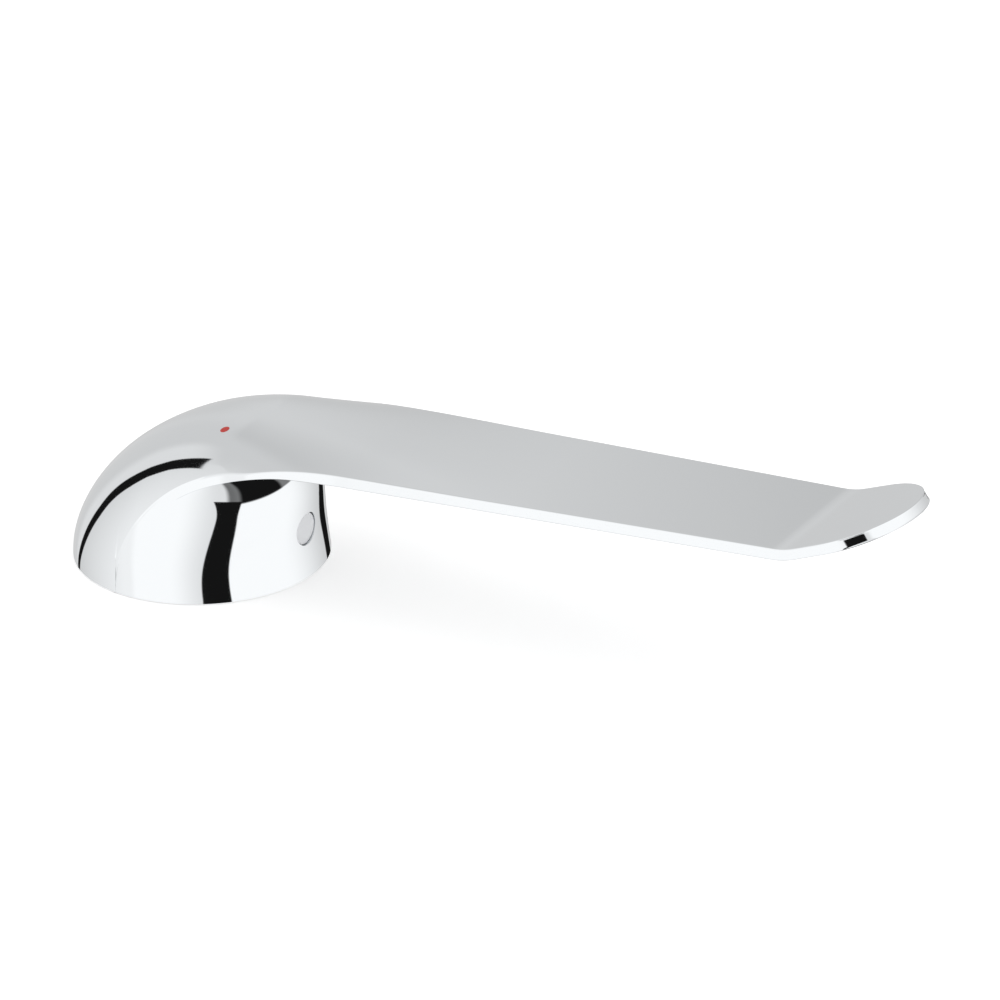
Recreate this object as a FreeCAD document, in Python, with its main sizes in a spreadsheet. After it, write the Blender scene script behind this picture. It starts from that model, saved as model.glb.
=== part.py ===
"""Long lever handle of a single-lever mixer tap, chromed casting.

The rim of the skirt lies in z = 0 with its centre at the origin, the lever runs along +X
and +Z is up.  All sizes are millimetres and stand in the sheet below.
"""
import FreeCAD
import Part
import Sketcher
import math
import os

from FreeCAD import Placement, Rotation, Vector

SIZES = {
    # hood: the domed back and its crest line
    "skirt_radius": 28.2,
    "crest_height": 36.8,
    "crest_x": 18.6,
    "crest_power": 1.8,
    "back_power": 1.95,
    "front_power": 2.79,
    "front_power_x": 36.0,
    # shoulder of the hood, fading into the flat blade
    "fade_start_x": 14.3,
    "fade_end_x": 99.0,
    "fade_round": 9.0,
    # blade
    "blade_angle": 3.35,
    "blade_rise_x": 68.3,
    "blade_rise_round": 18.0,
    "blade_thickness": 2.55,
    "blade_root_x": 48.0,
    "blade_root_width": 38.8,
    "flare_radius": 120.0,
    # upturned lip and rounded tip, placed from the reach of the lever
    "lever_reach": 169.6,
    "lip_run": 21.0,
    "lip_angle": 21.8,
    "lip_round": 2.5,
    "tip_round_width": 32.4,
    "tip_round_length": 13.8,
    # visor edge of the hood over the neck
    "visor_foot_x": -3.8,
    "visor_length": 34.4,
    # neck: elliptical rings from the rim up to the underside of the blade
    "neck_rim_radius": 28.1,
    "neck_low_z": 8.0,
    "neck_low_length": 26.65,
    "neck_low_width": 27.4,
    "neck_mid_z": 18.0,
    "neck_mid_length": 26.5,
    "neck_mid_width": 25.4,
    "neck_high_z": 26.0,
    "neck_high_length": 26.6,
    "neck_high_width": 23.8,
    "neck_top_z": 33.0,
    "neck_top_length": 31.0,
    "neck_top_width": 28.0,
    # inside: bore that goes over the cap, and the cast hollow above it
    "bore_radius": 25.0,
    "bore_depth": 5.0,
    "bore_ledge": 0.8,
    "hollow_low_z": 14.0,
    "hollow_low_length": 21.9,
    "hollow_low_width": 21.6,
    "hollow_low_shift": 1.9,
    "hollow_mid_z": 24.0,
    "hollow_mid_length": 17.2,
    "hollow_mid_width": 17.0,
    "hollow_mid_shift": 6.7,
    "hollow_top_z": 31.5,
    "hollow_top_length": 10.5,
    "hollow_top_width": 10.3,
    "hollow_top_shift": 12.4,
    # boss with the square socket for the cartridge stem
    "boss_radius": 8.5,
    "boss_foot_z": 5.2,
    "socket_width": 9.0,
    "socket_depth": 14.0,
    # clamping screw, its boss and the plug over it
    "screw_z": 10.9,
    "screw_radius": 2.5,
    "screw_length": 10.0,
    "screw_key_width": 2.5,
    "screw_key_depth": 3.0,
    "screw_cup_radius": 1.4,
    "screw_cup_depth": 0.7,
    "screw_chamfer": 0.4,
    "screw_boss_radius": 5.6,
    "plug_radius": 3.7,
    "plug_face_x": 26.1,
    "plug_head": 1.2,
    "plug_skirt_radius": 3.3,
    "plug_length": 3.0,
    "plug_wall": 0.9,
    "plug_round": 0.2,
    # hot and cold marks let into the hood
    "mark_radius": 1.1,
    "mark_depth": 0.8,
    "mark_x": 13.9,
    "hot_mark_y": 10.6,
    "cold_mark_y": 15.2,
    # play between pieces that fit into one another
    "fit_clearance": 0.05,
}

SECTION_POINTS = 21
ARCH_SHARE = 0.998
BELOW_RIM = 2.0
BACK_ANGLES = (1.5, 6, 12, 20, 29, 38, 47, 56, 66, 78, 90)
SHOULDER_PARTS = (0.1, 0.22, 0.35, 0.5, 0.66, 0.83, 1.0)
BLADE_PARTS = (0.19, 0.38, 0.56, 0.72, 0.84, 0.92)
BEND_PARTS = (-1.0, 0.0, 1.0)
LIP_PARTS = (0.08, 0.19, 0.34, 0.5, 0.67, 0.83, 1.0)
MARGIN = 12.0

doc = FreeCAD.newDocument("tap_handle")
sheet = doc.addObject("Spreadsheet::Sheet", "sizes")
for row, (alias, value) in enumerate(SIZES.items(), start=1):
    sheet.set("A%d" % row, alias)
    sheet.set("B%d" % row, str(value))
    sheet.setAlias("B%d" % row, alias)
doc.recompute()


def size(alias):
    """Value of one size, read from the sheet."""
    return float(sheet.get(alias))


def bind(item, **expressions):
    """Bind properties of a document object to expressions of the sheet's sizes."""
    for name, text in expressions.items():
        for alias in sorted(SIZES, key=len, reverse=True):
            text = text.replace("<%s>" % alias, "sizes.%s" % alias)
        item.setExpression(name.replace("__", "."), text)


def smooth_step(fraction):
    """Quintic step from 0 to 1 with flat ends."""
    t = min(max(fraction, 0.0), 1.0)
    return t * t * t * (t * (6.0 * t - 15.0) + 10.0)


def ramp(x, corner, rounding):
    """max(x - corner, 0) with its corner rounded by a parabola."""
    t = x - corner
    if t <= -rounding:
        return 0.0
    if t >= rounding:
        return t
    return (t + rounding) ** 2 / (4.0 * rounding)


def lip_x():
    """Place of the bend from which the lip turns up."""
    return size("lever_reach") - size("lip_run")


def tip_x():
    """Place where the straight sides end and the rounded tip begins."""
    return size("lever_reach") - size("tip_round_length")


def crest(x):
    """Height of the top on the centre line: dome, level run, rising blade, upturned lip."""
    blade_slope = math.tan(math.radians(size("blade_angle")))
    lip_slope = math.tan(math.radians(size("lip_angle")))
    rise = blade_slope * ramp(x, size("blade_rise_x"), size("blade_rise_round"))
    rise += (lip_slope - blade_slope) * ramp(x, lip_x(), size("lip_round"))
    reach = size("crest_x") + size("skirt_radius")
    behind = min(max((size("crest_x") - x) / reach, 0.0), 1.0)
    power = size("crest_power")
    return size("crest_height") * (1.0 - behind ** power) ** (1.0 / power) + rise


def shoulder(x):
    """Reciprocal half-width of the section at rim level: the skirt circle, fading to flat."""
    radius = size("skirt_radius")
    if x <= 0.0:
        return 1.0 / math.sqrt(radius ** 2 - x ** 2)
    run = size("fade_end_x") - size("fade_start_x")
    return max(1.0 - ramp(x, size("fade_start_x"), size("fade_round")) / run, 0.0) / radius


def section_power(x):
    """Fullness of the section, growing from the back of the hood to the front."""
    run = size("front_power_x") + size("skirt_radius")
    gain = size("front_power") - size("back_power")
    return size("back_power") + gain * smooth_step((x + size("skirt_radius")) / run)


def top(x, y):
    """Height of the outer skin over a point in plan."""
    power = section_power(x)
    across = min(shoulder(x) * abs(y), 1.0)
    return crest(x) * (1.0 - across ** power) ** (1.0 / power)


def hood_section(x):
    """Closed section of hood or blade: the superelliptic arch and three straight sides.

    The arch stops just short of the rim, so that the rim plane crosses straight walls only.
    """
    half = ARCH_SHARE * math.sqrt(size("skirt_radius") ** 2 - min(x, 0.0) ** 2)
    shares = [k / (SECTION_POINTS - 1.0) for k in range(SECTION_POINTS)]
    across = [half * math.sin(math.pi * (share - 0.5)) for share in shares]
    points = [Vector(x, y, top(x, y)) for y in across]
    arch = Part.BSplineCurve()
    arch.interpolate(Points=points, Parameters=shares)
    left_foot = Vector(x, -half, -BELOW_RIM)
    right_foot = Vector(x, half, -BELOW_RIM)
    return Part.Wire([
        arch.toShape(),
        Part.makeLine(points[-1], right_foot),
        Part.makeLine(right_foot, left_foot),
        Part.makeLine(left_foot, points[0]),
    ])


def hood_stations():
    """Section positions: close together where the back and the lip bend."""
    reach = size("crest_x") + size("skirt_radius")
    stations = [size("crest_x") - reach * math.cos(math.radians(angle)) for angle in BACK_ANGLES]
    lip_end = size("lever_reach") + MARGIN / 2.0
    bend_end = lip_x() + size("lip_round")
    for start, run, parts in (
        (size("crest_x"), size("fade_end_x") - size("crest_x"), SHOULDER_PARTS),
        (size("fade_end_x"), lip_x() - size("fade_end_x"), BLADE_PARTS),
        (lip_x(), size("lip_round"), BEND_PARTS),
        (bend_end, lip_end - bend_end, LIP_PARTS),
    ):
        stations += [start + part * run for part in parts]
    return stations


def plan_face():
    """Outline seen from above: wide round the skirt, flaring into the blade, rounded tip."""
    root = Vector(size("blade_root_x"), size("blade_root_width") / 2.0, 0.0)
    side_end = Vector(tip_x(), size("tip_round_width") / 2.0, 0.0)
    along = (side_end - root).normalize()
    outward = Vector(-along.y, along.x, 0.0)
    radius = size("flare_radius")
    centre = root + outward * radius
    back = -size("skirt_radius") - MARGIN
    wide = size("skirt_radius") + MARGIN

    def flare(height):
        """Point of the flare arc at a given distance from the centre line."""
        return Vector(centre.x - math.sqrt(radius ** 2 - (centre.y - height) ** 2), height, 0.0)

    def side(sign):
        """Edges of one side, from the tip's shoulder to the back corner."""
        def put(point):
            return Vector(point.x, sign * point.y, 0.0)
        middle = flare((wide + root.y) / 2.0)
        corner = Vector(back, wide, 0.0)
        return [
            Part.makeLine(put(side_end), put(root)),
            Part.Arc(put(root), put(middle), put(flare(wide))).toShape(),
            Part.makeLine(put(flare(wide)), put(corner)),
        ]

    nose = Part.Ellipse(side_end, Vector(size("lever_reach"), 0.0, 0.0), Vector(tip_x(), 0.0, 0.0))
    end = Part.ArcOfEllipse(nose, 0.0, math.pi).toShape()
    rear = Part.makeLine(Vector(back, wide, 0.0), Vector(back, -wide, 0.0))
    edges = Part.__sortEdges__([end, rear] + side(1.0) + side(-1.0))
    return Part.Face(Part.Wire(edges))


def undercut_face():
    """Side outline of the space under visor, blade and lip.

    The visor is a quarter ellipse that leaves the rim upright and runs tangent into the
    straight underside; the lip bends up from it at the same place as the top does.
    """
    slope = math.tan(math.radians(size("blade_angle")))
    half_length = size("visor_length")
    foot = size("visor_foot_x")
    middle = foot + half_length

    def straight(x):
        """Underside of the blade, continued to both sides."""
        return size("crest_height") - size("blade_thickness") + slope * (x - size("blade_rise_x"))

    def bent(x):
        """Underside with the upturned lip."""
        gain = math.tan(math.radians(size("lip_angle"))) - slope
        return straight(x) + gain * ramp(x, lip_x(), size("lip_round"))

    def at(x, z):
        return Vector(x, 0.0, z)

    level = straight(middle)
    half_height = math.sqrt(level ** 2 - (half_length * slope) ** 2)
    touch_x = middle - half_length ** 2 * slope / level
    touch = at(touch_x, straight(touch_x))
    quarter = Part.Ellipse(at(foot, 0.0), at(middle, half_height), at(middle, 0.0))
    start = quarter.parameter(at(foot, 0.0))
    visor = Part.ArcOfEllipse(quarter, start, quarter.parameter(touch)).toShape()
    bend_x = [lip_x() + part * size("lip_round") for part in BEND_PARTS]
    bend = [at(x, bent(x)) for x in bend_x]
    end = size("lever_reach") + MARGIN
    outline = [bend[-1], at(end, bent(end)), at(end, -BELOW_RIM), at(foot, -BELOW_RIM), at(foot, 0.0)]
    edges = [visor, Part.makeLine(touch, bend[0]), Part.Arc(*bend).toShape()]
    edges += [Part.makeLine(a, b) for a, b in zip(outline, outline[1:])]
    return Part.Face(Part.Wire(Part.__sortEdges__(edges)))


def feature(name, shape):
    """Document object that carries a form which has no feature of its own."""
    item = doc.addObject("Part::Feature", name)
    item.Shape = shape
    return item


def extrude(name, outline, direction, back, ahead):
    """Solid swept from a face along one axis, so far back and so far ahead."""
    item = doc.addObject("Part::Extrusion", name)
    item.Base = feature(name + "_outline", outline)
    item.DirMode = "Custom"
    item.Dir = direction
    item.Solid = True
    bind(item, LengthRev=back, LengthFwd=ahead)
    return item


def ring(name, height, length, width, shift="0"):
    """Horizontal ellipse: height, half length along X, half width along Y, centre along X.

    It starts at the back, so that the seam of a loft stays clear of the screw in the front.
    """
    circle = doc.addObject("Part::Circle", name + "_circle")
    circle.Radius = 1.0
    item = doc.addObject("Part::Scale", name)
    item.Base = circle
    item.Uniform = False
    item.Placement = Placement(Vector(), Rotation(Vector(0, 0, 1), 180.0))
    bind(item, XScale=length, YScale=width)
    bind(item, Placement__Base__x=shift, Placement__Base__z=height)
    return item


def loft(name, sections, ruled=False):
    """Solid drawn through its sections, smoothly or with straight walls between them."""
    item = doc.addObject("Part::Loft", name)
    item.Sections = sections
    item.Solid = True
    item.Ruled = ruled
    return item


def cylinder(name, radius, height, along=Vector(0, 0, 1), **place):
    """Cylinder bound to the sheet, its axis turned onto a direction."""
    item = doc.addObject("Part::Cylinder", name)
    item.Placement = Placement(Vector(), Rotation(Vector(0, 0, 1), along))
    bind(item, Radius=radius, Height=height, **place)
    return item


def combine(kind, name, base, tool):
    """Boolean of two document objects."""
    item = doc.addObject(kind, name)
    item.Base = base
    item.Tool = tool
    return item


def fuse(name, shapes):
    """Union of several document objects."""
    item = doc.addObject("Part::MultiFuse", name)
    item.Shapes = shapes
    return item


def polygon_sketch(body, name, corners):
    """Closed sketch of straight lines in the XZ plane; every corner is bound to the sheet."""
    sketch = body.newObject("Sketcher::SketchObject", name)
    plane = [item for item in body.Origin.OriginFeatures if item.Role == "XZ_Plane"][0]
    sketch.AttachmentSupport = [(plane, "")]
    sketch.MapMode = "FlatFace"
    count = len(corners)
    for k in range(count):
        first = Vector(k, k * k, 0)
        sketch.addGeometry(Part.LineSegment(first, Vector(k + 1, k * k + 1, 0)), False)
    for k in range(count):
        sketch.addConstraint(Sketcher.Constraint("Coincident", k, 2, (k + 1) % count, 1))
    for k, corner in enumerate(corners):
        for kind, axis, text in zip(("DistanceX", "DistanceY"), (-2, -1), corner):
            if text == "0":
                sketch.addConstraint(Sketcher.Constraint("PointOnObject", k, 1, axis))
                continue
            index = sketch.addConstraint(Sketcher.Constraint(kind, -1, 1, k, 1, 1.0))
            bind(sketch, **{"Constraints[%d]" % index: text})
    return sketch


def turned_body(name, corners):
    """Body turned about its Z axis from a profile of corners (radius, height)."""
    body = doc.addObject("PartDesign::Body", name)
    profile = polygon_sketch(body, name + "_profile", corners)
    turn = body.newObject("PartDesign::Revolution", name + "_turned")
    turn.Profile = profile
    turn.ReferenceAxis = (profile, ["V_Axis"])
    turn.Angle = 360.0
    return body


def key_socket(body, name, width, depth, height):
    """Hexagonal pocket from a given height down into a turned body."""
    sketch = body.newObject("Sketcher::SketchObject", name + "_outline")
    plane = [item for item in body.Origin.OriginFeatures if item.Role == "XY_Plane"][0]
    sketch.AttachmentSupport = [(plane, "")]
    sketch.MapMode = "FlatFace"
    bind(sketch, AttachmentOffset__Base__z=height)
    rim = sketch.addGeometry(Part.Circle(Vector(), Vector(0, 0, 1), 1.0), True)
    sketch.addConstraint(Sketcher.Constraint("Coincident", rim, 3, -1, 1))
    turns = [k * math.pi / 3.0 for k in range(7)]
    corners = [Vector(math.cos(turn), math.sin(turn), 0) for turn in turns]
    lines = [Part.LineSegment(first, second) for first, second in zip(corners, corners[1:])]
    sides = [sketch.addGeometry(line, False) for line in lines]
    for k in range(6):
        sketch.addConstraint(Sketcher.Constraint("Coincident", sides[k], 2, sides[(k + 1) % 6], 1))
        sketch.addConstraint(Sketcher.Constraint("PointOnObject", sides[k], 1, rim))
        if k:
            sketch.addConstraint(Sketcher.Constraint("Equal", sides[0], sides[k]))
    sketch.addConstraint(Sketcher.Constraint("PointOnObject", sides[0], 1, -1))
    index = sketch.addConstraint(Sketcher.Constraint("Radius", rim, 1.0))
    bind(sketch, **{"Constraints[%d]" % index: "%s / 2 / cos(30)" % width})
    pocket = body.newObject("PartDesign::Pocket", name)
    pocket.Profile = sketch
    bind(pocket, Length=depth)


def mark_placement(y):
    """Place of a mark at y: on the skin, its axis along the skin's normal, its face flush."""
    step = 0.01
    x = size("mark_x")
    normal = Vector(
        (top(x - step, y) - top(x + step, y)) / (2.0 * step),
        (top(x, y - step) - top(x, y + step)) / (2.0 * step),
        1.0).normalize()
    floor = Vector(x, y, top(x, y)) - normal * size("mark_depth")
    return Placement(floor, Rotation(Vector(0, 0, 1), normal))


X_AXIS = Vector(1, 0, 0)
Y_AXIS = Vector(0, 1, 0)
Z_AXIS = Vector(0, 0, 1)
ALONG_X = Rotation(Z_AXIS, X_AXIS)

# outer form: hood and blade cut to their plan and under the visor, then the neck below it
hood = feature("hood_form", Part.makeLoft([hood_section(x) for x in hood_stations()], True))
plan = extrude("plan", plan_face(), Z_AXIS, "0", "2 * <crest_height>")
under = extrude("under_visor", undercut_face(), Y_AXIS, "2 * <skirt_radius>", "2 * <skirt_radius>")
neck = loft("neck", [
    ring("neck_foot", "-%g" % BELOW_RIM, "<neck_rim_radius>", "<neck_rim_radius>"),
    ring("neck_rim", "0", "<neck_rim_radius>", "<neck_rim_radius>"),
    ring("neck_low", "<neck_low_z>", "<neck_low_length>", "<neck_low_width>"),
    ring("neck_mid", "<neck_mid_z>", "<neck_mid_length>", "<neck_mid_width>"),
    ring("neck_high", "<neck_high_z>", "<neck_high_length>", "<neck_high_width>"),
    ring("neck_top", "<neck_top_z>", "<neck_top_length>", "<neck_top_width>"),
])
trimmed = combine("Part::Common", "trimmed_hood", hood, plan)
visor = combine("Part::Cut", "visor_and_blade", trimmed, under)
stalk = combine("Part::Common", "neck_under_hood", trimmed, neck)
outer = combine("Part::Fuse", "outer_form", visor, stalk)

# inside: bore and cast hollow, less the boss of the stem and the boss of the screw
bore = cylinder(
    "skirt_bore", "<bore_radius>", "<bore_depth> + %g" % BELOW_RIM, Placement__Base__z="-%g" % BELOW_RIM)
ledge_radius = "<bore_radius> - <bore_ledge>"
hollow = loft("cast_hollow", [
    ring("hollow_foot", "<bore_depth> - %g" % BELOW_RIM, ledge_radius, ledge_radius),
    ring("hollow_low", "<hollow_low_z>", "<hollow_low_length>", "<hollow_low_width>", "<hollow_low_shift>"),
    ring("hollow_mid", "<hollow_mid_z>", "<hollow_mid_length>", "<hollow_mid_width>", "<hollow_mid_shift>"),
    ring("hollow_top", "<hollow_top_z>", "<hollow_top_length>", "<hollow_top_width>", "<hollow_top_shift>"),
], ruled=True)
stem_boss = cylinder("stem_boss", "<boss_radius>", "<crest_height>", Placement__Base__z="<boss_foot_z>")
screw_boss = cylinder(
    "screw_boss", "<screw_boss_radius>", "<skirt_radius>", X_AXIS,
    Placement__Base__x="<socket_width> / 2", Placement__Base__z="<screw_z>")
bosses = fuse("bosses", [stem_boss, screw_boss])
inside = combine("Part::Cut", "inside", fuse("hollows", [bore, hollow]), bosses)

socket = doc.addObject("Part::Box", "stem_socket")
bind(
    socket,
    Length="<socket_width>",
    Width="<socket_width>",
    Height="<socket_depth>",
    Placement__Base__x="-<socket_width> / 2",
    Placement__Base__y="-<socket_width> / 2",
    Placement__Base__z="<boss_foot_z>")
screw_hole = cylinder(
    "screw_hole", "<screw_radius> + <fit_clearance>", "<skirt_radius>", X_AXIS,
    Placement__Base__z="<screw_z>")
plug_hole = cylinder(
    "plug_hole", "<plug_radius> + <fit_clearance>", "<skirt_radius>", X_AXIS,
    Placement__Base__x="<plug_face_x> - <plug_length>", Placement__Base__z="<screw_z>")
hot_place = mark_placement(-size("hot_mark_y"))
cold_place = mark_placement(size("cold_mark_y"))
recesses = []
for name, place in (("hot_recess", hot_place), ("cold_recess", cold_place)):
    recess = cylinder(name, "<mark_radius> + <fit_clearance>", "2 * <mark_depth>")
    recess.Placement = place
    recesses.append(recess)
lever = outer
for cut in [inside, socket, screw_hole, plug_hole] + recesses:
    lever = combine("Part::Cut", "less_" + cut.Name, lever, cut)

# clamping screw: cup point towards the stem, hexagonal socket towards the plug
screw = turned_body("set_screw", [
    ("0", "<screw_cup_depth>"),
    ("<screw_cup_radius>", "0"),
    ("<screw_radius> - <screw_chamfer>", "0"),
    ("<screw_radius>", "<screw_chamfer>"),
    ("<screw_radius>", "<screw_length> - <screw_chamfer>"),
    ("<screw_radius> - <screw_chamfer>", "<screw_length>"),
    ("0", "<screw_length>"),
])
key_socket(screw, "screw_key", "<screw_key_width>", "<screw_key_depth>", "<screw_length>")
screw.Placement = Placement(Vector(), ALONG_X)
bind(screw, Placement__Base__x="<socket_width> / 2", Placement__Base__z="<screw_z>")

# plug: flat head over a hollow spigot that is pressed into the counterbore
plug = turned_body("screw_plug", [
    ("0", "<plug_length>"),
    ("<plug_radius> - <plug_round>", "<plug_length>"),
    ("<plug_radius>", "<plug_length> - <plug_round>"),
    ("<plug_radius>", "<plug_length> - <plug_head>"),
    ("<plug_skirt_radius>", "<plug_length> - <plug_head>"),
    ("<plug_skirt_radius>", "0"),
    ("<plug_skirt_radius> - <plug_wall>", "0"),
    ("<plug_skirt_radius> - <plug_wall>", "<plug_length> - <plug_head>"),
    ("0", "<plug_length> - <plug_head>"),
])
plug.Placement = Placement(Vector(), ALONG_X)
bind(plug, Placement__Base__x="<plug_face_x> - <plug_length>", Placement__Base__z="<screw_z>")

# enamel marks: hot on the left of the user, cold on the right
hot = cylinder("hot_mark", "<mark_radius>", "<mark_depth>")
hot.Placement = hot_place
cold = cylinder("cold_mark", "<mark_radius>", "<mark_depth>")
cold.Placement = cold_place

doc.recompute()
pieces = {
    "lever_body": lever,
    "set_screw": screw,
    "screw_plug": plug,
    "hot_mark": hot,
    "cold_mark": cold,
}
for label, piece in pieces.items():
    piece.Label = label
for item in doc.Objects:
    if "Invalid" in item.State or "Error" in item.State:
        raise RuntimeError("%s did not build: %s" % (item.Name, item.State))
for label, piece in pieces.items():
    if piece.Shape.isNull() or not piece.Shape.isValid() or len(piece.Shape.Solids) != 1:
        raise RuntimeError("%s is not one valid solid" % label)
os.makedirs("parts", exist_ok=True)
for label, piece in pieces.items():
    piece.Shape.exportStep("parts/%s.step" % label)
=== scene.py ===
"""Looks of the long lever handle of a single-lever mixer tap: polished chrome on white.

The frame is the part's own: the rim of the skirt lies in z = 0 with its centre at the origin,
the lever runs along +X and +Z is up.  The form is worked out in millimetres and handed to the
meshes in metres.
"""
import math

import bpy
import numpy as np
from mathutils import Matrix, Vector

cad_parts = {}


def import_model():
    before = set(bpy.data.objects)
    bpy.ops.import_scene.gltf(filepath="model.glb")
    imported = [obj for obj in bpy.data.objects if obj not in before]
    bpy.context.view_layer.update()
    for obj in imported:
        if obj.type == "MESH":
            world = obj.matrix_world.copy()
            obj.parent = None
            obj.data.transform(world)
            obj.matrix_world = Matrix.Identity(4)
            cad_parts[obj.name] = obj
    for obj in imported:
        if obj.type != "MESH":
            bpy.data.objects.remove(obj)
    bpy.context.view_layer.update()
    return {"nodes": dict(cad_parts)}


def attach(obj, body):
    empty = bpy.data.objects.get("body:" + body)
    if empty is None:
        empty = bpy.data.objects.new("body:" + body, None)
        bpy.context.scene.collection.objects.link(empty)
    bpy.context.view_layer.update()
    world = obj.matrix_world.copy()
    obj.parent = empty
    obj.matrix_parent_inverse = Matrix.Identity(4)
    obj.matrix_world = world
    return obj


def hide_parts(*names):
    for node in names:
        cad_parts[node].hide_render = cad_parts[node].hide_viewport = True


MM = 0.001
TINY = 1e-9
SMALLEST_AREA = 1e-7
QUARTER_TURN = 0.5 * math.pi
FULL_TURN = 2.0 * math.pi
SHARP_ANGLE = math.radians(32.0)

# hood
SKIRT_RADIUS = 28.2
CREST_HEIGHT = 36.8
CREST_X = 18.6
CREST_POWER = 1.8
BACK_POWER = 1.95
FRONT_POWER = 2.79
FRONT_POWER_X = 36.0
FADE_START_X = 14.3
FADE_END_X = 99.0
FADE_ROUND = 9.0
# blade, lip and tip
BLADE_SLOPE = math.tan(math.radians(3.35))
BLADE_RISE_X = 68.3
BLADE_RISE_ROUND = 18.0
BLADE_THICKNESS = 2.55
BLADE_ROOT = (48.0, 19.4)
FLARE_RADIUS = 120.0
LIP_X = 148.6
LIP_SLOPE = math.tan(math.radians(21.8))
LIP_ROUND = 2.5
LIP_LEAN = 1.2
TIP_X = 155.8
TIP_HALF_WIDTH = 16.2
TIP_LENGTH = 13.5
# edge all round: rounding, its largest share of the edge, blend of arch and plan
EDGE_ROUND = 0.35
EDGE_SHARE = 0.45
EDGE_BLEND = 1.0
# visor edge over the neck
VISOR_FOOT_X = -3.8
VISOR_LENGTH = 34.4
VISOR_MIDDLE_X = VISOR_FOOT_X + VISOR_LENGTH
VISOR_EDGE = 2.3
VISOR_EDGE_GROWS = (0.0, 10.0)
VISOR_EDGE_ENDS = (14.0, 38.0)
# rows and stations of the hood's skin
BACK_STATIONS = 90
VISOR_STATIONS = 70
VISOR_SWEEP = 0.47 * math.pi
BLADE_STATIONS = 70
BEND_STATIONS = 17
TIP_STATIONS = 60
TIP_SWEEP_START = -0.15 * math.pi
STATION_GAP = 1e-4
ARCH_ROWS = 72
ROUND_ROWS = 6
WALL_ROWS = np.array([0.06, 0.94, 1.0])
WALL_LEAN = 0.8
FLOOR_ROWS = 8
# neck rings: height, half length, half width
NECK_RINGS = np.array([
    [0.0, 28.15, 28.2],
    [8.0, 27.23, 27.57],
    [18.0, 27.44, 25.16],
    [26.0, 27.76, 24.53],
    [33.0, 30.82, 29.1],
])
NECK_TUCK = 0.8
NECK_TOP_Z = 32.2
NECK_SIDE_COLUMNS = 69
NECK_ROWS_ABOVE = 69
NECK_ROWS_BELOW = 8
RIM_STEP = 0.02
RIM_COLUMNS = 160
# inside: height, half length, half width, shift along X
BORE_RADIUS = 25.0
BORE_DEPTH = 5.0
HOLLOW_RINGS = np.array([
    [5.0, 23.8, 23.8, 0.4],
    [14.0, 21.9, 21.6, 1.9],
    [24.0, 17.2, 17.0, 6.7],
    [31.5, 10.5, 10.3, 12.4],
])
BOSS_RADIUS = 8.5
BOSS_FOOT_Z = 5.2
BOSS_TOP_Z = 28.8
BOSS_TOP_LEAN = 0.33
SOCKET_HALF = 4.5
SOCKET_TOP_Z = 19.2
SCREW_Z = 10.9
SCREW_BOSS_RADIUS = 5.6
SCREW_BOSS_X = (5.5, 24.5)
# plug and its seat
PLUG_RADIUS = 3.66
PLUG_FACE_X = 26.8
PLUG_BACK_X = 25.6
PLUG_ROUND = 0.25
PLUG_ROUND_ROWS = 9
SEAT_RADIUS = 3.75
SEAT_PATCH = 8.0
SEAT_COLUMNS = 13
PATCH_COLUMNS = 11
# marks
MARK_RADIUS = 1.0
MARK_X = 13.9
HOT_MARK_Y = -10.6
COLD_MARK_Y = 15.2
MARK_RAISE = 0.01
MARK_ROWS = 13
MARK_COLUMNS = 48
# finishes
WHITE = (1.0, 1.0, 1.0, 1.0)
FLOOR_WHITE = (0.9, 0.9, 0.9, 1.0)
FLOOR_GLOW = 0.42
CHROME_COLOUR = (0.86, 0.88, 0.895, 1.0)
PLUG_GREY = (0.8, 0.81, 0.83, 1.0)
STEEL_GREY = (0.5, 0.5, 0.5, 1.0)
HOT_RED = (0.55, 0.04, 0.03, 1.0)
COLD_BLUE = (0.03, 0.12, 0.5, 1.0)
CLOUD_SCALE = 90.0
CLOUD_DETAIL = 2.0
# studio behind the handle: greys, and borders in degrees of rise and of turn from -X
CEILING_GREY = 0.705
CEILING_FALL = 0.022
CEILING_FALL_START = -56.91
CORNER_SHADE = 0.03
CORNER_START = (-50.0, -36.0)
HIGH_SHADE = 0.09
HIGH_LEAN = 0.5
HIGH_START = (53.0, 65.0)
HIGH_END = (-46.0, -24.0)
LIP_SHADE = 0.06
LIP_SHADE_TURN = (-60.0, -46.0, 4.0)
LIP_SHADE_TOP = (2.0, 21.0)
WALL_GREY = 0.8
WALL_SLANT = 0.13
WALL_START = (-25.0, -15.0)
WALL_TOP = (32.0, 47.0)
SIDE_WALL_GREY = 0.745
SIDE_WALL_GAIN = 0.005
# dark slit between the walls: with the rise it drifts to -Y, and its foot curls to +Y
SLIT_TURN = -4.5
SLIT_DRIFT = 11.9
SLIT_DRIFT_RISE = (4.0, 36.0)
SLIT_CURL = 0.2
SLIT_CURL_BEND = 0.0007
SLIT_BORDER = (-1.0, 1.0)
SLIT_WIDENING = 0.011
SLIT_WIDTH = 0.94
SLIT_SIDES = (-4.2, 4.2, 0.5)
SLIT_END_SLANT = 0.6
SLIT_ENDS = (-60.0, 40.8, 0.6)
BACK_SIDES = (-68.0, 60.0, 4.0)
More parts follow.
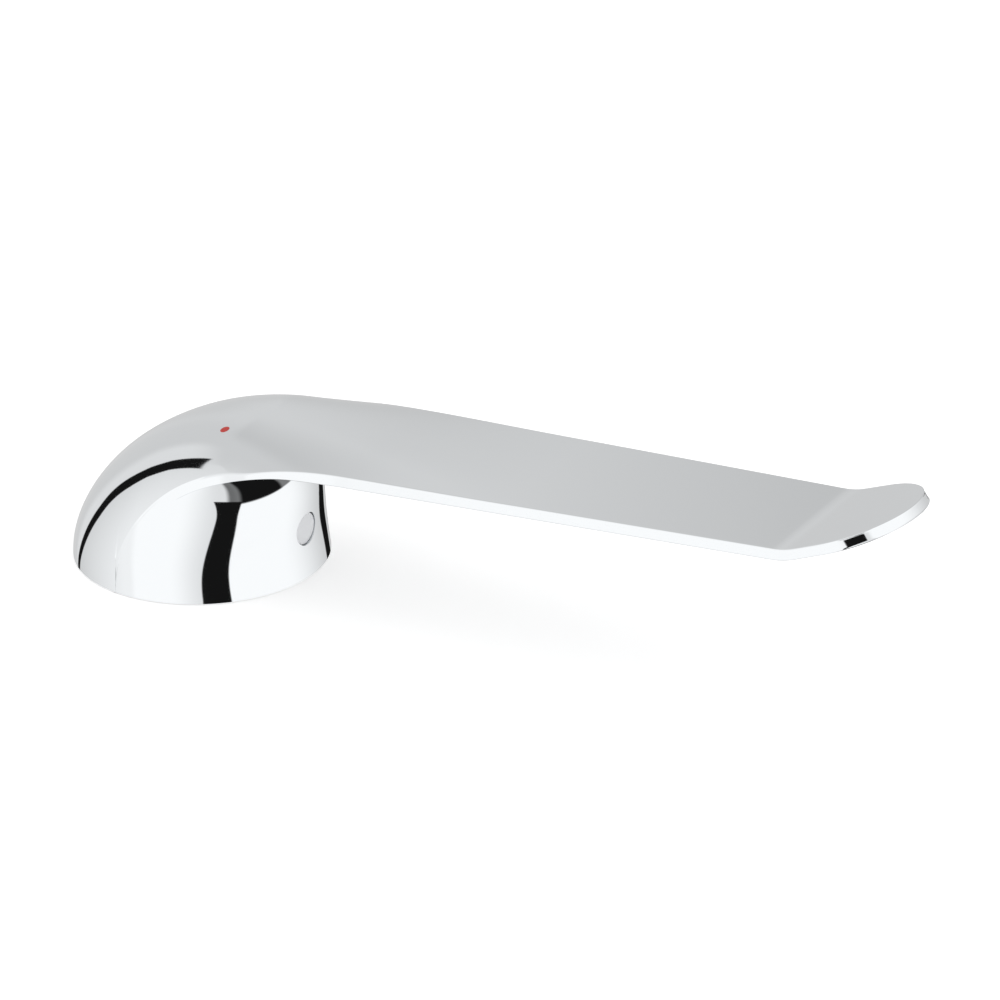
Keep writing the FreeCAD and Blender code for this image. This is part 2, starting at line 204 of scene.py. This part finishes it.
# studio before the handle: greys, and borders in degrees of rise and of turn from +X
FRONT_WHITE = 1.1
NEAR_SHADE = 0.27
NEAR_START = (-86.0, -50.0)
NEAR_END = (-40.0, -30.0)
FAR_SHADE = 0.45
FAR_START = (20.0, 95.0)
STRIPE_SLANT = 0.3
STRIPE_LEFT = (-51.8, -50.6)
STRIPE_RIGHT = (-36.9, -35.7)
STRIPE_RISE = (-19.5, -1.5, 0.8)
LIP_CARD_SLANT = 0.9
LIP_CARD_LEFT = (-74.8, -73.2)
LIP_CARD_RIGHT = (-43.0, -41.5)
LIP_CARD_RISE = (2.4, 22.0, 0.8)
GROUND_SLANT = 0.25
GROUND_RISE = (-90.0, -25.0, 1.2)
GROUND_BLACK = 0.97
GROUND_BLACK_TURN = (-32.0, 18.0, 3.0)
GROUND_GREY = 0.8
GROUND_GREY_TURN = (-44.0, 34.0, 3.0)
SIDE_CARD_TURN = (86.0, 103.0, 1.0)
SIDE_CARD_RISE = (-34.0, -16.0, 1.0)
DARKEST = 0.008
# floor and the photograph's view
FLOOR_HALF = 3000.0
FLOOR_Z = -0.3
CAMERA_TURN = math.radians(29.90)
CAMERA_RISE = math.radians(24.91)
CAMERA_DISTANCE = 0.9
CAMERA_TARGET = Vector((0.0751, 0.0, 0.0288))
CAMERA_LENS = 155.6
CAMERA_SENSOR = 36.0


def smooth_step(fraction):
    """Quintic step from 0 to 1 with flat ends."""
    t = np.clip(fraction, 0.0, 1.0)
    return t * t * t * (t * (6.0 * t - 15.0) + 10.0)


def step_over(x, span):
    """Quintic step from 0 at the start of a span to 1 at its end."""
    start, end = span
    return smooth_step((x - start) / (end - start))


def ramp(x, corner, rounding):
    """max(x - corner, 0) with its corner rounded by a parabola."""
    t = x - corner
    parabola = (np.clip(t, -rounding, rounding) + rounding) ** 2 / (4.0 * rounding)
    return np.where(t > rounding, t, parabola)


def crest(x):
    """Height of the top on the centre line: dome, level run, rising blade, upturned lip."""
    behind = np.clip((CREST_X - x) / (CREST_X + SKIRT_RADIUS), 0.0, 1.0)
    dome = CREST_HEIGHT * (1.0 - behind ** CREST_POWER) ** (1.0 / CREST_POWER)
    blade = BLADE_SLOPE * ramp(x, BLADE_RISE_X, BLADE_RISE_ROUND)
    return dome + blade + (LIP_SLOPE - BLADE_SLOPE) * ramp(x, LIP_X, LIP_ROUND)


def shoulder(x):
    """Reciprocal half-width of the section at rim level: the skirt circle, fading to flat."""
    circle = 1.0 / np.sqrt(np.maximum(SKIRT_RADIUS ** 2 - np.minimum(x, 0.0) ** 2, TINY))
    fade = 1.0 - ramp(x, FADE_START_X, FADE_ROUND) / (FADE_END_X - FADE_START_X)
    return circle * np.maximum(fade, 0.0)


def section_power(x):
    """Fullness of the section, growing from the back of the hood to the front."""
    return BACK_POWER + (FRONT_POWER - BACK_POWER) * step_over(x, (-SKIRT_RADIUS, FRONT_POWER_X))


def top(x, y):
    """Height of the outer skin: the superellipse (k|y|)^n + (z / crest)^n = 1."""
    power = section_power(x)
    across = np.minimum(shoulder(x) * np.abs(y), 1.0)
    return crest(x) * (1.0 - across ** power) ** (1.0 / power)


def straight_under(x):
    """Underside of the blade, continued to both sides."""
    return CREST_HEIGHT - BLADE_THICKNESS + BLADE_SLOPE * (x - BLADE_RISE_X)


VISOR_LEVEL = straight_under(VISOR_MIDDLE_X)
VISOR_HEIGHT = math.sqrt(VISOR_LEVEL ** 2 - (VISOR_LENGTH * BLADE_SLOPE) ** 2)
VISOR_TOUCH_X = VISOR_MIDDLE_X - VISOR_LENGTH ** 2 * BLADE_SLOPE / VISOR_LEVEL


def under(x):
    """Line where the arch ends: the quarter ellipse of the visor, the blade and the bent lip."""
    share = np.clip((VISOR_MIDDLE_X - x) / VISOR_LENGTH, -1.0, 1.0)
    visor = VISOR_HEIGHT * np.sqrt(1.0 - share ** 2)
    blade = straight_under(x) + (LIP_SLOPE - BLADE_SLOPE) * ramp(x, LIP_X, LIP_ROUND)
    return np.where(x < VISOR_TOUCH_X, visor, blade)


def visor_edge(x):
    """Height of the visor's edge below the arch: grows from the foot, fades into the blade."""
    return VISOR_EDGE * step_over(x, VISOR_EDGE_GROWS) * (1.0 - step_over(x, VISOR_EDGE_ENDS))


def lower_face(x):
    """Height of the lower face: the rim behind the visor's foot, then visor, blade and lip."""
    return np.where(x <= VISOR_FOOT_X, 0.0, under(x) - visor_edge(x))


def visor_x(z):
    """Place of the visor's quarter ellipse at a given height."""
    share = np.clip(z / VISOR_HEIGHT, 0.0, 1.0)
    return VISOR_MIDDLE_X - VISOR_LENGTH * np.sqrt(1.0 - share ** 2)


def plan_half_width(x):
    """Half-width of the plan: flare arc, straight taper, half ellipse at the tip."""
    root = np.array(BLADE_ROOT)
    along = np.array([TIP_X, TIP_HALF_WIDTH]) - root
    along = along / np.hypot(*along)
    centre = root + FLARE_RADIUS * np.array([-along[1], along[0]])
    flare = centre[1] - np.sqrt(FLARE_RADIUS ** 2 - np.minimum(x - centre[0], 0.0) ** 2)
    taper = root[1] + (x - root[0]) * along[1] / along[0]
    tip = TIP_HALF_WIDTH * np.sqrt(np.clip(1.0 - ((x - TIP_X) / TIP_LENGTH) ** 2, 0.0, 1.0))
    return np.where(x < root[0], flare, np.where(x < TIP_X, taper, tip))


def arch_half_width(x):
    """Half-width of the arch where it comes down to the visor or the blade."""
    drop = np.clip(under(x) / np.maximum(crest(x), 1e-6), 0.0, 1.0)
    power = section_power(x)
    across = (1.0 - drop ** power) ** (1.0 / power)
    return across / np.maximum(shoulder(x), 1e-6)


def hood_half_width(x):
    """Half-width of the hood: skirt circle, the smaller of arch and plan, and the plan.

    The smaller of a and b is (a + b - hypot(a - b, blend)) / 2, which rounds the change over.
    """
    plan, arch = plan_half_width(x), arch_half_width(x)
    smaller = 0.5 * (plan + arch - np.hypot(plan - arch, EDGE_BLEND))
    circle = np.sqrt(np.maximum(SKIRT_RADIUS ** 2 - x ** 2, 0.0))
    return np.where(x <= VISOR_FOOT_X, circle, np.where(x > BLADE_ROOT[0], plan, smaller))


def spline(at, knots, values):
    """Natural cubic spline through values at the knots, read at other places."""
    gaps = np.diff(knots)
    count = len(knots)
    system = np.eye(count)
    right = np.zeros((count, values.shape[1]))
    inner = np.arange(1, count - 1)
    system[inner, inner - 1] = gaps[:-1]
    system[inner, inner] = 2.0 * (gaps[:-1] + gaps[1:])
    system[inner, inner + 1] = gaps[1:]
    slopes = np.diff(values, axis=0) / gaps[:, None]
    right[inner] = 6.0 * np.diff(slopes, axis=0)
    bends = np.linalg.solve(system, right)
    k = np.clip(np.searchsorted(knots, at, side="right") - 1, 0, count - 2)
    ahead = (knots[k + 1] - at)[..., None]
    behind = (at - knots[k])[..., None]
    gap = gaps[k][..., None]
    cubic = (bends[k] * ahead ** 3 + bends[k + 1] * behind ** 3) / (6.0 * gap)
    linear = (values[k] / gap - bends[k] * gap / 6.0) * ahead
    return cubic + linear + (values[k + 1] / gap - bends[k + 1] * gap / 6.0) * behind


def neck_half_sizes(z):
    """Half length and half width of the neck's ellipse at a height."""
    sizes = spline(np.asarray(z, float), NECK_RINGS[:, 0], NECK_RINGS[:, 1:])
    return sizes[..., 0], sizes[..., 1]


def add_mesh(name, points, faces, material):
    """Mesh object from points in millimetres, smooth with sharp edges where it turns hard."""
    mesh = bpy.data.meshes.new(name)
    mesh.from_pydata(points * MM, [], faces)
    mesh.validate()
    mesh.polygons.foreach_set("use_smooth", np.ones(len(mesh.polygons), bool))
    mesh.set_sharp_from_angle(angle=SHARP_ANGLE)
    mesh.materials.append(material)
    piece = bpy.data.objects.new(name, mesh)
    bpy.context.scene.collection.objects.link(piece)
    return piece


def grid_faces(rows, columns, closed=False, kept=None):
    """Quads of a grid of points; closed joins the last column to the first."""
    index = np.arange(rows * columns).reshape(rows, columns)
    if closed:
        index = np.concatenate([index, index[:, :1]], axis=1)
    quads = np.stack([index[:-1, :-1], index[:-1, 1:], index[1:, 1:], index[1:, :-1]], axis=-1)
    return quads[kept] if kept is not None else quads.reshape(-1, 4)


def grid_piece(name, points, material, closed=False, kept=None):
    """Piece from a grid of points, rows by columns by three, without collapsed quads."""
    rows, columns = points.shape[:2]
    flat = points.reshape(-1, 3)
    faces = grid_faces(rows, columns, closed, kept)
    corners = flat[faces]
    spread = np.cross(corners[:, 2] - corners[:, 0], corners[:, 3] - corners[:, 1])
    faces = faces[np.linalg.norm(spread, axis=1) > SMALLEST_AREA]
    used, faces = np.unique(faces, return_inverse=True)
    return add_mesh(name, flat[used], faces.reshape(-1, 4), material)


def ellipse_rings(heights, lengths, widths, shifts, count=128):
    """Rings (shift + length cos a, width sin a, height), one row for each height."""
    turn = np.linspace(0.0, FULL_TURN, count, endpoint=False)
    x = shifts[:, None] + lengths[:, None] * np.cos(turn)
    y = widths[:, None] * np.sin(turn)
    z = np.broadcast_to(heights[:, None], x.shape)
    return np.stack([x, y, z], axis=-1)


def hood_stations():
    """Stations along the lever, close together where back, visor, lip and tip bend."""
    quarter = np.linspace(0.0, QUARTER_TURN, BACK_STATIONS)
    back = CREST_X - (CREST_X + SKIRT_RADIUS) * np.cos(quarter)
    sweep = np.linspace(0.0, VISOR_SWEEP, VISOR_STATIONS)
    visor = VISOR_MIDDLE_X - VISOR_LENGTH * np.cos(sweep)
    blade = np.linspace(VISOR_TOUCH_X, LIP_X - LIP_ROUND, BLADE_STATIONS)
    bend = np.linspace(LIP_X - LIP_ROUND, LIP_X + LIP_ROUND, BEND_STATIONS)
    sweep = np.linspace(TIP_SWEEP_START, QUARTER_TURN, TIP_STATIONS)
    tip = TIP_X + TIP_LENGTH * np.sin(sweep)
    tip = tip[tip > LIP_X + LIP_ROUND]
    stations = np.unique(np.concatenate([back, visor, blade, bend, tip]))
    return stations[np.concatenate([[True], np.diff(stations) > STATION_GAP])]


def rounded(start, corner, end):
    """Rows of the parabola from start to end whose tangents meet in corner, without its start."""
    t = np.linspace(0.0, 1.0, ROUND_ROWS + 1)[1:]
    start, corner, end = start[:, None], corner[:, None], end[:, None]
    return start * (1.0 - t) ** 2 + corner * 2.0 * t * (1.0 - t) + end * t ** 2


def lower_face_inside(x, z):
    """Where the lower face ends inside: at the bore, or tucked under the skin of the neck."""
    length, breadth = neck_half_sizes(np.clip(z, 0.0, NECK_RINGS[-1, 0]))
    neck = breadth * np.sqrt(np.clip(1.0 - (x / length) ** 2, 0.0, 1.0)) - NECK_TUCK
    bore = np.sqrt(np.maximum(BORE_RADIUS ** 2 - x ** 2, 0.0))
    return np.where(x <= VISOR_FOOT_X, bore, neck)


def hood_skin():
    """Hood, blade and lip as one skin.

    Each station is a line from the spine to the outline.  Along it the skin follows the arch,
    turns over the rounded upper edge, runs down the narrow wall, round the lower edge and back
    under the visor or the blade; the same points mirrored make the other half.  Round the lip
    the wall leans out.
    """
    x = hood_stations()
    width = hood_half_width(x)
    spine = np.where(x < TIP_X, x, TIP_X + 0.5 * (x - TIP_X))
    reach = np.maximum(np.hypot(x - spine, width), TINY)
    ahead = (x - spine) / reach
    aside = width / reach

    lean = LIP_LEAN * step_over(x, (LIP_X - LIP_ROUND, LIP_X + LIP_ROUND))
    low = lower_face(x + lean)
    high = np.maximum(top(x, width), low)
    inset = np.minimum(EDGE_ROUND, EDGE_SHARE * (high - low))
    inner = reach - inset

    def on_line(distance, height, pushed=0.0):
        """Points at a distance from the spine along every station's line, pushed along X."""
        along = spine[:, None] + ahead[:, None] * distance + pushed
        return np.stack([along, aside[:, None] * distance, height], axis=-1)

    arch_reach = inner[:, None] * np.sin(np.linspace(0.0, QUARTER_TURN, ARCH_ROWS))
    arch_x = spine[:, None] + ahead[:, None] * arch_reach
    arch = on_line(arch_reach, top(arch_x, aside[:, None] * arch_reach))
    upper = on_line(rounded(inner, reach, reach), rounded(arch[:, -1, 2], high, high - inset))

    pushed = lean[:, None]
    wall_z = (high - inset)[:, None] * (1.0 - WALL_ROWS) + (low + inset)[:, None] * WALL_ROWS
    wall_reach = np.broadcast_to(reach[:, None], wall_z.shape)
    wall = on_line(wall_reach, wall_z, pushed * WALL_LEAN * WALL_ROWS)
    lower = on_line(rounded(reach, reach, inner), rounded(low + inset, low, low), pushed)

    share = np.linspace(0.0, 1.0, FLOOR_ROWS + 1)[1:]
    innermost = np.clip(lower_face_inside(x, low), 0.0, inner)
    floor_reach = inner[:, None] * (1.0 - share) + innermost[:, None] * share
    floor_x = spine[:, None] + ahead[:, None] * floor_reach + pushed
    floor = on_line(floor_reach, lower_face(floor_x), pushed)

    half = np.concatenate([arch, upper, wall, lower, floor], axis=1)
    mirrored = half[:, 1:] * np.array([1.0, -1.0, 1.0])
    return np.concatenate([half[:, ::-1], mirrored], axis=1)


def neck_front(across, z):
    """Front of the neck: x on its ellipse at height z, for places across Y."""
    length, width = neck_half_sizes(z)
    return length * np.sqrt(np.clip(1.0 - (across / width) ** 2, 0.0, 1.0))


def drawn_to_circles(across, rise):
    """Factor that draws squares round the plug in to circles, fading out over the patch."""
    square = np.maximum(np.abs(across), np.abs(rise))
    away = np.maximum(np.hypot(across, rise), TINY)
    blend = step_over(square, (SEAT_RADIUS, SEAT_PATCH))
    return square / away * (1.0 - blend) + blend


def beside_hole(places):
    """Which gaps between neighbouring places belong to the hole of the plug."""
    inside = np.abs(places) < SEAT_RADIUS - 1e-6
    return inside[:-1] | inside[1:]


def neck_skin():
    """Front of the neck from the rim up into the hood, with a round hole for the plug.

    Columns are places across Y near the plug and shares of the turn beyond it.  Round the plug
    the square rings of the grid are drawn in to circles, so that its hole is a true circle.
    Gives the points and which quads are kept.
    """
    hole = SEAT_RADIUS * np.linspace(-1.0, 1.0, SEAT_COLUMNS)
    patch = np.linspace(SEAT_RADIUS, SEAT_PATCH, PATCH_COLUMNS + 1)[1:]
    near = np.concatenate([-patch[::-1], hole, patch])
    sides = np.linspace(0.0, 1.0, NECK_SIDE_COLUMNS + 1)[1:]
    outer = np.full(NECK_SIDE_COLUMNS, SEAT_PATCH)
    place = np.concatenate([-outer, near, outer])
    beyond = np.concatenate([-sides[::-1], np.zeros(len(near)), sides])

    patch_top = SCREW_Z + SEAT_PATCH
    growth = np.sin(np.linspace(0.0, QUARTER_TURN, NECK_ROWS_ABOVE + 1))[1:]
    above = patch_top + (NECK_TOP_Z - patch_top) * growth
    below = np.linspace(0.0, SCREW_Z - SEAT_PATCH, NECK_ROWS_BELOW + 1)[:-1]
    height = np.concatenate([below, SCREW_Z + near, above])

    across, z = np.meshgrid(place, height)
    draw = drawn_to_circles(across, z - SCREW_Z)
    across = across * draw
    z = SCREW_Z + (z - SCREW_Z) * draw

    length, width = neck_half_sizes(z)
    limit = np.arccos(np.clip((visor_x(z) - NECK_TUCK) / length, -1.0, 1.0))
    turn = np.arcsin(np.clip(across / width, -1.0, 1.0))
    turn = turn + beyond * np.maximum(limit - np.abs(turn), 0.0)
    turn = np.clip(turn, -limit, limit)
    points = np.stack([length * np.cos(turn), width * np.sin(turn), z], axis=-1)
    kept = ~(beside_hole(height - SCREW_Z)[:, None] & beside_hole(place)[None, :])
    return points, kept


def rim_band():
    """Foot of the neck and the flat rim: three arcs about the axis, the last on the bore."""
    foot = NECK_RINGS[0, 1]
    turn = np.linspace(1.0, -1.0, RIM_COLUMNS) * math.acos((VISOR_FOOT_X - NECK_TUCK) / foot)
    radius = np.array([foot, foot, BORE_RADIUS])[:, None]
    height = np.array([RIM_STEP, 0.0, 0.0])[:, None]
    x = radius * np.cos(turn)
    return np.stack([x, radius * np.sin(turn), np.broadcast_to(height, x.shape)], axis=-1)


def inside_rings():
    """Bore, ledge and cast hollow up to its flat ceiling, as elliptical rings."""
    rings = np.concatenate([
        [[0.0, BORE_RADIUS, BORE_RADIUS, 0.0], [BORE_DEPTH, BORE_RADIUS, BORE_RADIUS, 0.0]],
        HOLLOW_RINGS,
        HOLLOW_RINGS[-1:] * np.array([1.0, 0.0, 0.0, 1.0]),
    ])
    return ellipse_rings(*rings.T)[:, ::-1]


def boss_rings(count=96):
    """Round boss of the stem, its foot and the square socket up to its floor, ring by ring."""
    turn = np.linspace(0.0, FULL_TURN, count, endpoint=False)
    circle = np.stack([np.cos(turn), np.sin(turn)], axis=-1)
    square = circle / np.abs(circle).max(axis=1, keepdims=True)
    boss, socket = BOSS_RADIUS * circle, SOCKET_HALF * square
    outlines = np.stack([boss, boss, socket, socket, 0.0 * circle])
    height = np.array([BOSS_TOP_Z, BOSS_FOOT_Z, BOSS_FOOT_Z, SOCKET_TOP_Z, SOCKET_TOP_Z])
    lean = np.array([BOSS_TOP_LEAN, 0.0, 0.0, 0.0, 0.0])
    z = height[:, None] + lean[:, None] * outlines[:, :, 0]
    return np.concatenate([outlines, z[:, :, None]], axis=-1)[:, ::-1]


def turned_along_x(profile, count=96):
    """Surface turned about the plug's axis from a profile of (x, radius)."""
    turn = np.linspace(0.0, FULL_TURN, count, endpoint=False)
    x, radius = np.asarray(profile, float).T
    y = radius[:, None] * np.cos(turn)
    z = SCREW_Z + radius[:, None] * np.sin(turn)
    return np.stack([np.broadcast_to(x[:, None], y.shape), y, z], axis=-1)


def screw_boss():
    """Boss of the clamping screw: a plain tube between stem boss and neck."""
    return turned_along_x([[x, SCREW_BOSS_RADIUS] for x in SCREW_BOSS_X])


def plug_skin():
    """Plug: side, edge rounded by a quarter circle, flat face, turned about its axis."""
    turn = np.linspace(0.0, QUARTER_TURN, PLUG_ROUND_ROWS)
    edge = np.stack([
        PLUG_FACE_X - PLUG_ROUND * (1.0 - np.sin(turn)),
        PLUG_RADIUS - PLUG_ROUND * (1.0 - np.cos(turn))], axis=-1)
    return turned_along_x(np.concatenate([[[PLUG_BACK_X, PLUG_RADIUS]], edge, [[PLUG_FACE_X, 0.0]]]))


def seat_rings():
    """Wall and floor of the plug's hole, from the skin of the neck inwards."""
    rings = turned_along_x([[0.0, SEAT_RADIUS], [PLUG_BACK_X, SEAT_RADIUS], [PLUG_BACK_X, 0.0]])
    rings[0, :, 0] = neck_front(rings[0, :, 1], rings[0, :, 2])
    return rings


def mark_points(middle):
    """Enamel mark: a disc laid on the hood, raised in the middle by part of an ellipse."""
    radius = MARK_RADIUS * np.sin(np.linspace(0.0, QUARTER_TURN, MARK_ROWS))
    turn = np.linspace(0.0, FULL_TURN, MARK_COLUMNS, endpoint=False)
    x = MARK_X + radius[:, None] * np.cos(turn)
    y = middle + radius[:, None] * np.sin(turn)
    raised = MARK_RAISE * np.sqrt(np.maximum(1.0 - (radius / MARK_RADIUS) ** 2, 0.0))
    return np.stack([x, y, top(x, y) + raised[:, None]], axis=-1)[:, ::-1]


class Socket:
    """Output of a shader node that can be used in sums and products."""

    def __init__(self, tree, port):
        self.tree = tree
        self.port = port

    def make(self, kind, *values, out=0, **settings):
        """New node of any kind; values go to its inputs in order, None leaves one as it is."""
        node = self.tree.nodes.new(kind)
        for name, value in settings.items():
            setattr(node, name, value)
        for port, value in zip(node.inputs, values):
            if isinstance(value, Socket):
                self.tree.links.new(value.port, port)
            elif value is not None:
                port.default_value = value
        return Socket(self.tree, node.outputs[out])

    def maths(self, operation, *values):
        """Maths node on given values."""
        return self.make("ShaderNodeMath", *values, operation=operation)

    def __add__(self, other):
        return self.maths("ADD", self, other)

    __radd__ = __add__

    def __mul__(self, other):
        return self.maths("MULTIPLY", self, other)

    __rmul__ = __mul__

    def __sub__(self, other):
        return self.maths("SUBTRACT", self, other)

    def __rsub__(self, other):
        return self.maths("SUBTRACT", other, self)

    def __truediv__(self, other):
        return self.maths("DIVIDE", self, other)

    def __rtruediv__(self, other):
        return self.maths("DIVIDE", other, self)

    def __neg__(self):
        return self.maths("MULTIPLY", self, -1.0)

    def at_most(self, limit):
        """The smaller of the value and a limit."""
        return self.maths("MINIMUM", self, limit)

    def at_least(self, limit):
        """The larger of the value and a limit."""
        return self.maths("MAXIMUM", self, limit)

    def step(self, start, end):
        """Smooth step from 0 at start to 1 at end."""
        return self.make(
            "ShaderNodeMapRange", self, start, end, 0.0, 1.0, interpolation_type="SMOOTHSTEP")

    def between(self, low, high, soft):
        """1 between two values and 0 outside, with soft flanks."""
        return self.step(low - soft, low + soft) * (1.0 - self.step(high - soft, high + soft))


def new_material(name, **values):
    """Principled material with constant values; returns it with its shader node."""
    material = bpy.data.materials.new(name)
    material.use_nodes = True
    shader = material.node_tree.nodes["Principled BSDF"]
    for socket, value in values.items():
        shader.inputs[socket.replace("_", " ")].default_value = value
    return material, shader


def chrome_material(name, roughness, spread):
    """Chrome whose roughness wanders a little with the place."""
    material, shader = new_material(name, Base_Color=CHROME_COLOUR, Metallic=1.0)
    tree = material.node_tree
    place = Socket(tree, tree.nodes.new("ShaderNodeTexCoord").outputs["Object"])
    cloud = place.make("ShaderNodeTexNoise", place, None, CLOUD_SCALE, CLOUD_DETAIL)
    tree.links.new((cloud * spread + roughness).port, shader.inputs["Roughness"])
    return material


def studio_back(rise, behind):
    """Grey of the studio behind the handle, over rise and turn from -X.

    A grey ceiling darkens towards +Y and meets a lighter wall; past a dark slit, bent like the
    hood that mirrors it, stands the side wall towards -Y, which lightens with the turn.
    """
    ceiling = CEILING_GREY + CEILING_FALL * (behind - CEILING_FALL_START).at_most(0.0)
    ceiling = ceiling - CORNER_SHADE * behind.step(*CORNER_START)
    high = (rise - behind * HIGH_LEAN).step(*HIGH_START) * (1.0 - behind.step(*HIGH_END))
    ceiling = ceiling - HIGH_SHADE * high
    lip = behind.between(*LIP_SHADE_TURN) * (1.0 - rise.step(*LIP_SHADE_TOP))
    ceiling = ceiling - LIP_SHADE * lip
    wall = (behind - rise * WALL_SLANT).step(*WALL_START) * (1.0 - rise.step(*WALL_TOP))
    side_wall = (behind * SIDE_WALL_GAIN + SIDE_WALL_GREY).at_most(1.0)

    depth = (-rise).at_least(0.0)
    curl = depth * (depth * depth * SLIT_CURL_BEND + SLIT_CURL)
    slit = behind - SLIT_TURN - SLIT_DRIFT * rise.step(*SLIT_DRIFT_RISE) + curl
    beyond = slit.step(*SLIT_BORDER)
    grey = ceiling * (1.0 - wall) + WALL_GREY * wall
    grey = grey * (1.0 - beyond) + side_wall * beyond
    dark = (slit / (rise * SLIT_WIDENING + SLIT_WIDTH)).between(*SLIT_SIDES)
    return grey * (1.0 - dark * (rise + behind * SLIT_END_SLANT).between(*SLIT_ENDS))


def studio_front(rise, turn):
    """Grey of the studio before the handle, over rise and turn from +X.

    White walls are shaded on the camera's side and towards +Y.  Black cards on them show as the
    stripe on the neck, the patch on the lip's edge and the line at the neck's side; the ground is dark.
    """
    near = turn.step(*NEAR_START) * (1.0 - turn.step(*NEAR_END))
    grey = FRONT_WHITE - NEAR_SHADE * near - FAR_SHADE * turn.step(*FAR_START)

    stripe = (turn - rise * STRIPE_SLANT).step(*STRIPE_LEFT)
    stripe = stripe * (1.0 - (turn + rise * STRIPE_SLANT).step(*STRIPE_RIGHT))
    grey = grey * (1.0 - stripe * rise.between(*STRIPE_RISE))
    lip = (turn + rise * LIP_CARD_SLANT).step(*LIP_CARD_LEFT) * (1.0 - turn.step(*LIP_CARD_RIGHT))
    grey = grey * (1.0 - lip * rise.between(*LIP_CARD_RISE))
    ground = (rise + turn * GROUND_SLANT).between(*GROUND_RISE)
    grey = grey * (1.0 - GROUND_BLACK * ground * turn.between(*GROUND_BLACK_TURN))
    grey = grey * (1.0 - GROUND_GREY * ground * turn.between(*GROUND_GREY_TURN))
    return grey * (1.0 - turn.between(*SIDE_CARD_TURN) * rise.between(*SIDE_CARD_RISE))


def build_world():
    """White surroundings for the camera and a studio for the chrome to mirror.

    The studio is drawn over the direction of a ray: its rise above the horizon, its turn from +X
    and its turn from -X, all in degrees.
    """
    world = bpy.data.worlds.new("surroundings")
    bpy.context.scene.world = world
    world.use_nodes = True
    tree = world.node_tree
    tree.nodes.clear()
    direction = Socket(tree, tree.nodes.new("ShaderNodeTexCoord").outputs["Generated"])
    x, y, z = (direction.make("ShaderNodeSeparateXYZ", direction, out=axis) for axis in range(3))
    degrees = math.degrees(1.0)
    rise = direction.maths("ARCSINE", z) * degrees
    turn = direction.maths("ARCTAN2", y, x) * degrees
    behind = direction.maths("ARCTAN2", -y, -x) * degrees

    back = behind.between(*BACK_SIDES)
    studio = studio_back(rise, behind) * back + studio_front(rise, turn) * (1.0 - back)
    seen = direction.make("ShaderNodeLightPath", out=0)
    strength = studio.at_least(DARKEST) * (1.0 - seen) + seen
    background = direction.make("ShaderNodeBackground", WHITE, strength)
    output = tree.nodes.new("ShaderNodeOutputWorld")
    tree.links.new(background.port, output.inputs["Surface"])


def build_floor():
    """Pale floor under the rim, kept out of the chrome's reflections."""
    material, _ = new_material(
        "pale_floor", Base_Color=FLOOR_WHITE, Roughness=1.0,
        Emission_Color=WHITE, Emission_Strength=FLOOR_GLOW)
    corners = np.array([[-1.0, -1.0, 0.0], [1.0, -1.0, 0.0], [1.0, 1.0, 0.0], [-1.0, 1.0, 0.0]])
    points = FLOOR_HALF * corners + np.array([0.0, 0.0, FLOOR_Z])
    floor = add_mesh("floor", points, np.array([[0, 1, 2, 3]]), material)
    floor.visible_glossy = False


def build_camera():
    """Camera of the photograph's view, aimed at the handle from a turn and a rise."""
    data = bpy.data.cameras.new("camera")
    data.lens = CAMERA_LENS
    data.sensor_width = CAMERA_SENSOR
    camera = bpy.data.objects.new("camera", data)
    bpy.context.scene.collection.objects.link(camera)
    back = Vector((
        math.sin(CAMERA_TURN) * math.cos(CAMERA_RISE),
        -math.cos(CAMERA_TURN) * math.cos(CAMERA_RISE),
        math.sin(CAMERA_RISE)))
    camera.location = CAMERA_TARGET + back * CAMERA_DISTANCE
    camera.rotation_euler = (-back).to_track_quat("-Z", "Y").to_euler()
    bpy.context.scene.camera = camera


def dress(piece, node):
    """Lets a piece ride on the handle's body in place of a CAD node."""
    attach(piece, "root")
    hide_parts(node)


def build_casting():
    """Chromed casting: its polished outside, the seat of the plug and the rough inside."""
    chrome = chrome_material("chrome", 0.03, 0.02)
    cast = chrome_material("cast_inside", 0.3, 0.1)
    neck, kept = neck_skin()
    for piece in (
        grid_piece("hood_skin", hood_skin(), chrome),
        grid_piece("neck_skin", neck, chrome, kept=kept),
        grid_piece("rim_band", rim_band(), chrome),
        grid_piece("inside", inside_rings(), cast, closed=True),
        grid_piece("stem_boss", boss_rings(), cast, closed=True),
        grid_piece("screw_boss", screw_boss(), cast, closed=True),
        grid_piece("plug_seat", seat_rings(), chrome, closed=True),
    ):
        dress(piece, "lever_body")


def build_small_pieces(frame):
    """Plug, the two enamel marks and the finish of the clamping screw."""
    plastic, _ = new_material("plug_plastic", Base_Color=PLUG_GREY, Roughness=0.3)
    steel, _ = new_material("screw_steel", Base_Color=STEEL_GREY, Metallic=1.0, Roughness=0.35)
    red, _ = new_material("hot_enamel", Base_Color=HOT_RED, Roughness=0.5)
    blue, _ = new_material("cold_enamel", Base_Color=COLD_BLUE, Roughness=0.5)
    plug = grid_piece("plug", plug_skin(), plastic, closed=True)
    hot = grid_piece("hot_dot", mark_points(HOT_MARK_Y), red, closed=True)
    cold = grid_piece("cold_dot", mark_points(COLD_MARK_Y), blue, closed=True)
    dress(plug, "screw_plug")
    dress(hot, "hot_mark")
    dress(cold, "cold_mark")
    screw = frame["nodes"]["set_screw"]
    screw.data.materials.clear()
    screw.data.materials.append(steel)


def main():
    """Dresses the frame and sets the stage."""
    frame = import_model()
    bpy.context.scene.view_settings.view_transform = "Standard"
    build_casting()
    build_small_pieces(frame)
    build_world()
    build_floor()
    build_camera()


main()
